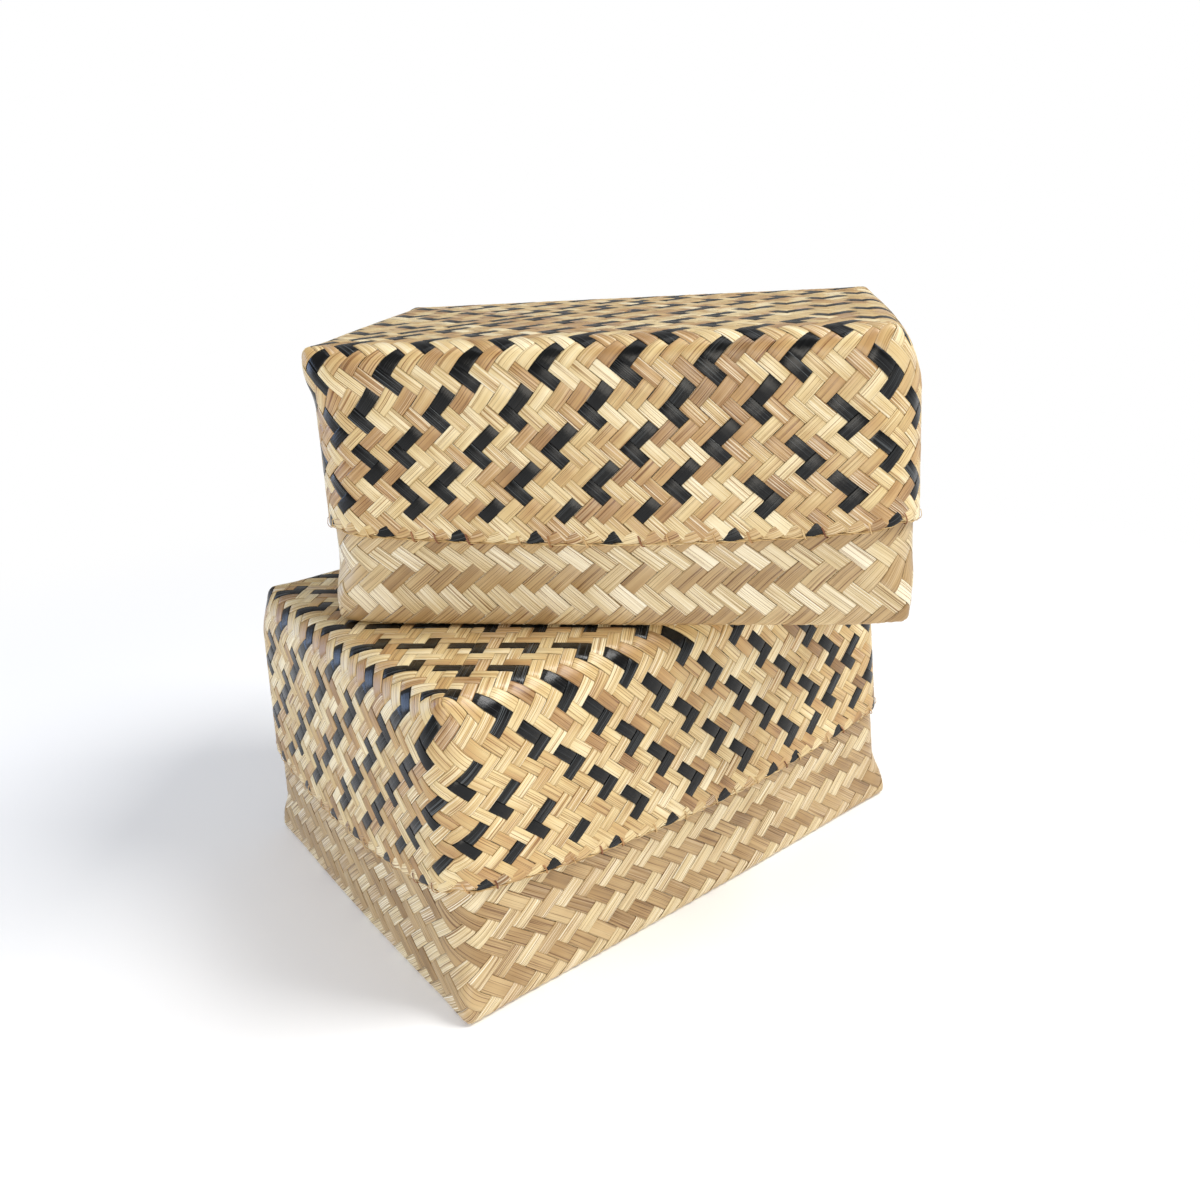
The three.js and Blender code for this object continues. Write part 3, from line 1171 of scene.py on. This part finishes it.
@dataclass
class RimTwine:
    """Two plies of plant fibre twisted together and laid along a rim, and their stitches."""

    lattice: Lattice
    seed: int
    ply_radius: float = 0.42
    # How far a ply lies from the twine's middle, and the length of one full twist.
    ply_offset: float = 0.38
    lay: float = 14.0
    step: float = 1.6
    sides: int = 6
    # Waves in which the twine strays from the rim's line: how far, and the length to a radian.
    stray: tuple[tuple[float, float], ...] = ((0.16, 23.0), (0.1, 9.1))
    # How much thicker or thinner a ply gets, and the length of that wave to a radian.
    ply_swell: tuple[float, float] = (0.12, 5.0)
    # The plies' tones, how far they stray, and the length of that wave to a radian.
    ply_tones: tuple[float, float] = (0.35, 0.6)
    tone_drift: tuple[float, float] = (0.2, 31.0)
    # Pitches from one stitch to the next.
    stitch_spacing: int = 2
    stitch_width: float = 1.0
    stitch_thickness: float = 0.3
    # How far a stitch slants along the rim, in millimetres to each side.
    stitch_slant: float = 2.6
    # The ranges of the stitches' widths and slants, and how far they lie out of place in pitches.
    width_range: tuple[float, float] = (0.75, 1.1)
    slant_range: tuple[float, float] = (0.5, 1.3)
    scatter: float = 0.6
    # About how far apart the points of a stitch's loop lie.
    loop_step: float = 1.5

    def plies(self) -> list[Rings]:
        """Builds the two plies.

        Returns:
            The plies, as closed tubes.
        """
        rng = np.random.default_rng(self.seed)
        lattice = self.lattice
        form = lattice.form
        count = int(form.perimeter / self.step)
        around = np.arange(count) / count * lattice.total
        depth = form.rim_depth + LAYER_GAP + CORD_DIAMETER / 2
        below = np.full(count, depth / form.rim_depth * lattice.rows)
        inset = WALL_THICKNESS / 2
        middle = lattice.wall_point(around, below, inset)
        out = unit(middle - lattice.wall_point(around, below, inset + WALL_PROBE))
        down = unit(middle - lattice.wall_point(around, below - NET_PROBE, inset))

        steps = np.linalg.norm(np.roll(middle, -1, 0) - middle, axis=1)
        length = np.cumsum(steps) - steps
        angle = 2 * np.pi * round(steps.sum() / self.lay) * length / steps.sum()
        stray = sum(reach * np.sin(length / wave) for reach, wave in self.stray)
        turn = np.arange(self.sides) / self.sides * 2 * np.pi
        swell, swell_wave = self.ply_swell
        drift, drift_wave = self.tone_drift
        plies = []
        for ply, ply_tone in enumerate(self.ply_tones):
            here = (angle + ply * np.pi)[:, None]
            offset = np.cos(here) * out + np.sin(here) * down
            line = middle + offset * self.ply_offset + stray[:, None] * out
            along = unit(np.roll(line, -1, 0) - np.roll(line, 1, 0))
            side = unit(np.cross(along, down))
            up = np.cross(along, side)
            circle = np.cos(turn)[:, None] * side[:, None] + np.sin(turn)[:, None] * up[:, None]
            radius = self.ply_radius * (1 + swell * np.sin(length / swell_wave + ply))
            around_ply = turn * self.ply_radius
            grain = columns(length[:, None], around_ply, rng.uniform(0, SEED_SPREAD))
            tone = ply_tone + drift * np.sin(length / drift_wave)
            values = columns(tone[:, None], 1.0, 0.0, 0.0)
            ring = line[:, None] + radius[:, None, None] * circle
            plies.append(Rings(ring, grain, side[:, None], values, closed=True))
        return plies

    def stitches(self) -> list[Rings]:
        """Builds the stitches that hold the twine to the rim, one at every second strip.

        Returns:
            The stitches, as flat open loops.
        """
        rng = np.random.default_rng(self.seed + 1)
        lattice = self.lattice
        form = lattice.form
        per_pitch = form.perimeter / lattice.total
        # The loop's outline, as distance down from the rim and out from the outer face.
        over = ((-3.6, -0.6), (-3.0, 0.35), (-1.5, 0.55), (0.2, 0.75), (1.5, 0.35), (2.45, -0.6))
        under = ((2.45, -1.8), (1.5, -2.9), (0.0, -3.1), (-2.4, -3.0), (-3.2, -2.2))
        loop = np.array(over + under)
        lean = np.linspace(-self.stitch_slant, self.stitch_slant, len(loop))
        down = (form.rim_depth + loop[:, 0]) / form.rim_depth * lattice.rows
        distance = np.arange(len(loop))[:, None] * self.loop_step
        # The cross-section's corners, as shares of half the width and half the thickness.
        corners = ((1, 0.2), (0.5, 1), (-0.5, 1), (-1, 0.2), (-0.6, -1), (0.6, -1))
        corner_across, corner_out = np.array(corners).T[:, :, None]
        stitches = []
        for index in range(0, lattice.total, self.stitch_spacing):
            start = index + 0.5 + rng.uniform(-self.scatter, self.scatter)
            around = start + lean * rng.uniform(*self.slant_range) / per_pitch
            middle = lattice.wall_point(around, down, 0.0)
            out = unit(middle - lattice.wall_point(around, down, WALL_PROBE))
            line = middle + loop[:, 1:2] * out
            along = unit(np.gradient(line, axis=0))
            sideways = unit(lattice.wall_point(around + NET_PROBE, down, 0.0) - middle)
            flat = unit(np.cross(sideways, along))[:, None] * self.stitch_thickness / 2
            half = self.stitch_width / 2 * rng.uniform(*self.width_range)
            wide = sideways[:, None] * half
            ring = line[:, None] + wide * corner_across + flat * corner_out
            grain = columns(distance, corner_across[:, 0] * half, rng.uniform(0, SEED_SPREAD))
            tone = columns(rng.uniform(0, 1) ** 2, 1.0, 0.0, 0.0)
            stitches.append(Rings(ring, grain, sideways[:, None], tone))
        return stitches


@dataclass
class Shell:
    """A tray or a lid: outer weave, lining, hoop, and twine with its stitches."""

    name: str
    form: Form
    weave: WeavePlan
    lining: WeavePlan
    place: Matrix
    seed: int

    def add(self, part: str, tubes: list[Rings], finish: SplitBamboo, node: str, slot: str) -> None:
        """Makes a piece that rides with the shell's body and stands for a node.

        Args:
            part: The last part of the piece's name.
            tubes: Its strips or plies.
            finish: Its material.
            node: The last part of the node's name.
            slot: Not used.
        """
        piece = make_piece(f"{self.name}_{part}", tubes, self.place)
        piece.data.materials.append(finish.build())
        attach(piece, self.name)
        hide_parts(f"{self.name}_{node}")
        LOG.info("%s: %d faces", piece.name, len(piece.data.polygons))

    def build(self) -> None:
        """Builds both layers and the twine with its stitches, and finishes the hoop."""
        is_lid = self.form.closed_up
        strip, slot = (LID_STRIP, "lid_weave") if is_lid else (TRAY_STRIP, "tray_weave")
        outer = Lattice(self.form, *self.weave.pitches)
        for key, tubes in WovenLayer(outer, self.weave, self.seed).gather().items():
            self.add(f"strips_{key}", tubes, DYED_STRIP if key == "dyed" else strip, "weave", slot)
        inner = Lattice(self.form, *self.lining.pitches)
        lining = WovenLayer(inner, self.lining, self.seed + LINING_SEED)
        for key, tubes in lining.gather().items():
            self.add(f"lining_{key}", tubes, LINING_STRIP, "lining", "lining_weave")
        twine = RimTwine(outer, self.seed + TWINE_SEED)
        self.add("rim_twine", twine.plies(), TWINE, "rim_cord", "rim_cord")
        self.add("rim_stitches", twine.stitches(), STITCH, "rim_cord", "rim_cord")
        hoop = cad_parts[f"{self.name}_rim_hoop"]
        hoop.data.materials.clear()
        hoop.data.materials.append(BambooSplint().build())
        LOG.info("%s: finished", hoop.name)


@dataclass(frozen=True)
class Basket:
    """One basket of the set, with its sizes as in the solids, in millimetres."""

    name: str
    seed: int
    length: float
    width: float
    height: float
    lean: float
    rim_radius: float
    tray_ear_inset: float
    lid_rim_height: float
    rim_tilt: tuple[float, float]
    rim_corner_rise: float
    top_shift: tuple[float, float]
    tray_weave: WeavePlan
    tray_lining: tuple[int, int, int]
    lid_weave: WeavePlan
    lid_lining: tuple[int, int, int]

    def tray_form(self) -> Form:
        """Works out the surface of the tray.

        Returns:
            The surface.
        """
        rim = self.height - EAR_REACH - CORD_DIAMETER - LAYER_GAP
        return Form(
            half_length=self.length / 2,
            half_width=self.width / 2,
            height=self.height,
            lean=self.lean,
            rim_depth=rim,
            edge_radius=TRAY_EDGE_RADIUS,
            rim_radius=self.rim_radius,
            ear_inset=self.tray_ear_inset,
            closed_up=False,
            settle_from=rim,
        )

    def lid_form(self) -> Form:
        """Works out the surface of the lid.

        Returns:
            The surface.
        """
        tray = self.tray_form()
        return replace(
            tray,
            half_length=tray.half_length + LID_REACH,
            half_width=tray.half_width + LID_REACH,
            rim_depth=self.height - self.lid_rim_height,
            edge_radius=LID_EDGE_RADIUS,
            rim_radius=self.rim_radius + LID_REACH,
            ear_inset=LID_EAR_INSET,
            closed_up=True,
            shift=self.top_shift,
            tilt=self.rim_tilt,
            corner_rise=self.rim_corner_rise,
        )

    def build(self, place: Matrix) -> None:
        """Builds the tray, and the lid that slips over it.

        Args:
            place: Where the basket stands, in metres.
        """
        for name, form, weave, lining, seed in (
            ("tray", self.tray_form(), self.tray_weave, self.tray_lining, self.seed),
            ("lid", self.lid_form(), self.lid_weave, self.lid_lining, self.seed + LID_SEED),
        ):
            Shell(f"{self.name}_{name}", form, weave, lining_plan(lining), place, seed).build()


LARGE = Basket(
    name="large",
    seed=11,
    length=298.0,
    width=224.0,
    height=160.0,
    lean=8.5,
    rim_radius=15.0,
    tray_ear_inset=-1.0,
    lid_rim_height=51.0,
    rim_tilt=(-4.3, -4.7),
    rim_corner_rise=12.5,
    top_shift=(0.0, 0.0),
    tray_weave=WeavePlan(
        pitches=(24, 18, 13),
        top_rows=(2, 3),
        painted_sheen_contrast=0.13,
        tone_middle=0.57,
        tone_spread=0.1,
    ),
    tray_lining=(22, 17, 10),
    lid_weave=WeavePlan(
        pitches=(32, 24, 11),
        top_rows=(2, 3),
        dyed=((Family.RISING, 0), (Family.FALLING, 2)),
        swapped=((Family.FALLING, 32),),
        painted_sheen_slope=Slope.BACKWARD,
    ),
    lid_lining=(23, 18, 8),
)
SMALL = Basket(
    name="small",
    seed=29,
    length=286.0,
    width=184.0,
    height=137.0,
    lean=4.3,
    rim_radius=26.0,
    tray_ear_inset=3.0,
    lid_rim_height=43.5,
    rim_tilt=(-0.5, 0.0),
    rim_corner_rise=7.0,
    top_shift=(-4.0, -3.0),
    tray_weave=WeavePlan(
        pitches=(23, 15, 11),
        top_rows=(2, 3),
        painted_sheen_slope=Slope.BACKWARD,
        painted_sheen_contrast=0.2,
        tone_middle=0.4,
        tone_spread=0.13,
    ),
    tray_lining=(21, 14, 8),
    lid_weave=WeavePlan(
        pitches=(30, 20, 10),
        top_rows=(0, 1),
        dyed=((Family.RISING, 1), (Family.FALLING, 3)),
        swapped=((Family.RISING, -1), (Family.RISING, 29)),
    ),
    lid_lining=(22, 14, 7),
)
SMALL_OFFSET = (31.2, -23.5, LARGE.height + LAYER_GAP)
SMALL_TURN = np.radians(-46.1)


@dataclass(frozen=True)
class PhotoCamera:
    """The camera at the photograph's viewing angle, for an image of 1200 by 1200.

    Its place is in millimetres and its angles are in degrees.
    """

    location: tuple[float, float, float] = (-313.2, -461.9, 357.4)
    yaw: float = 36.06
    pitch: float = 21.44
    roll: float = -3.7
    lens: float = 31.4
    sensor: float = 36.0

    def build(self) -> None:
        """Adds the camera, turned right by its yaw, down by its pitch and around its roll."""
        yaw, pitch, roll = np.radians([self.yaw, self.pitch, self.roll])
        level = Matrix.Rotation(-yaw, 4, "Z") @ Matrix.Rotation(np.pi / 2 - pitch, 4, "X")
        data = bpy.data.cameras.new("photo_camera")
        data.lens, data.sensor_width = self.lens, self.sensor
        data.clip_start, data.clip_end = 0.01, 50.0
        camera = bpy.data.objects.new("photo_camera", data)
        camera.matrix_world = level @ Matrix.Rotation(roll, 4, "Z")
        camera.location = [c * MM for c in self.location]
        bpy.context.scene.collection.objects.link(camera)
        bpy.context.scene.camera = camera


@dataclass(frozen=True)
class SoftBox:
    """A square soft light that faces the set, with its place and size in metres."""

    name: str
    location: tuple[float, float, float]
    size: float
    watts: float
    colour: str = "#ffffff"

    def build(self) -> None:
        """Adds the light, aimed at the middle of the set."""
        data = bpy.data.lights.new(self.name, "AREA")
        data.size, data.energy = self.size, self.watts
        data.color = linear(self.colour)[:3]
        light = bpy.data.objects.new(self.name, data)
        light.location = self.location
        aim = (Vector(MIDDLE) - light.location).to_track_quat("-Z", "Y")
        light.rotation_euler = aim.to_euler()
        bpy.context.scene.collection.objects.link(light)


@dataclass(frozen=True)
class Studio:
    """A white paper floor and soft light, with the key light above and in front on the right."""

    floor_half: float = 8.0
    ambient: float = 0.33
    lights: tuple[SoftBox, ...] = (
        SoftBox("key_light", (0.98, -0.98, 1.9), 0.85, 37.5, "#fffefc"),
        SoftBox("front_light", (-1.22, -1.45, 0.5), 0.9, 13.0, "#fff8ec"),
        SoftBox("left_light", (-1.22, 1.3, 0.55), 0.9, 11.0, "#b4d0ff"),
        SoftBox("top_light", (0.1, 0.0, 2.2), 1.1, 6.0),
    )

    def build(self) -> None:
        """Adds the floor, the lights and the surroundings."""
        half = self.floor_half
        mesh = bpy.data.meshes.new("paper_floor")
        corners = [(-half, -half, 0), (half, -half, 0), (half, half, 0), (-half, half, 0)]
        mesh.from_pydata(corners, [], [(0, 1, 2, 3)])
        mesh.materials.append(StudioPaper().build())
        floor = bpy.data.objects.new("paper_floor", mesh)
        bpy.context.scene.collection.objects.link(floor)
        for light in self.lights:
            light.build()
        world = bpy.data.worlds.new("white_room")
        bpy.context.scene.world = world
        add = clear_nodes(world)
        seen = add("LightPath").outputs["Is Camera Ray"]
        strength = add("MapRange", {0: seen, 3: self.ambient, 4: 1.0})
        white = add("Background", {"Color": linear("#ffffff"), "Strength": strength})
        add("OutputWorld", {"Surface": white})


def main() -> None:
    """Builds the camera, the baskets and the studio, in order."""
    logging.basicConfig(level=logging.INFO, format="%(message)s")
    bpy.context.scene.view_settings.view_transform = "Standard"
    PhotoCamera().build()
    LARGE.build(Matrix.Identity(4))
    offset = Matrix.Translation([c * MM for c in SMALL_OFFSET])
    SMALL.build(offset @ Matrix.Rotation(SMALL_TURN, 4, "Z"))
    Studio().build()


if __name__ == "__main__":
    main()
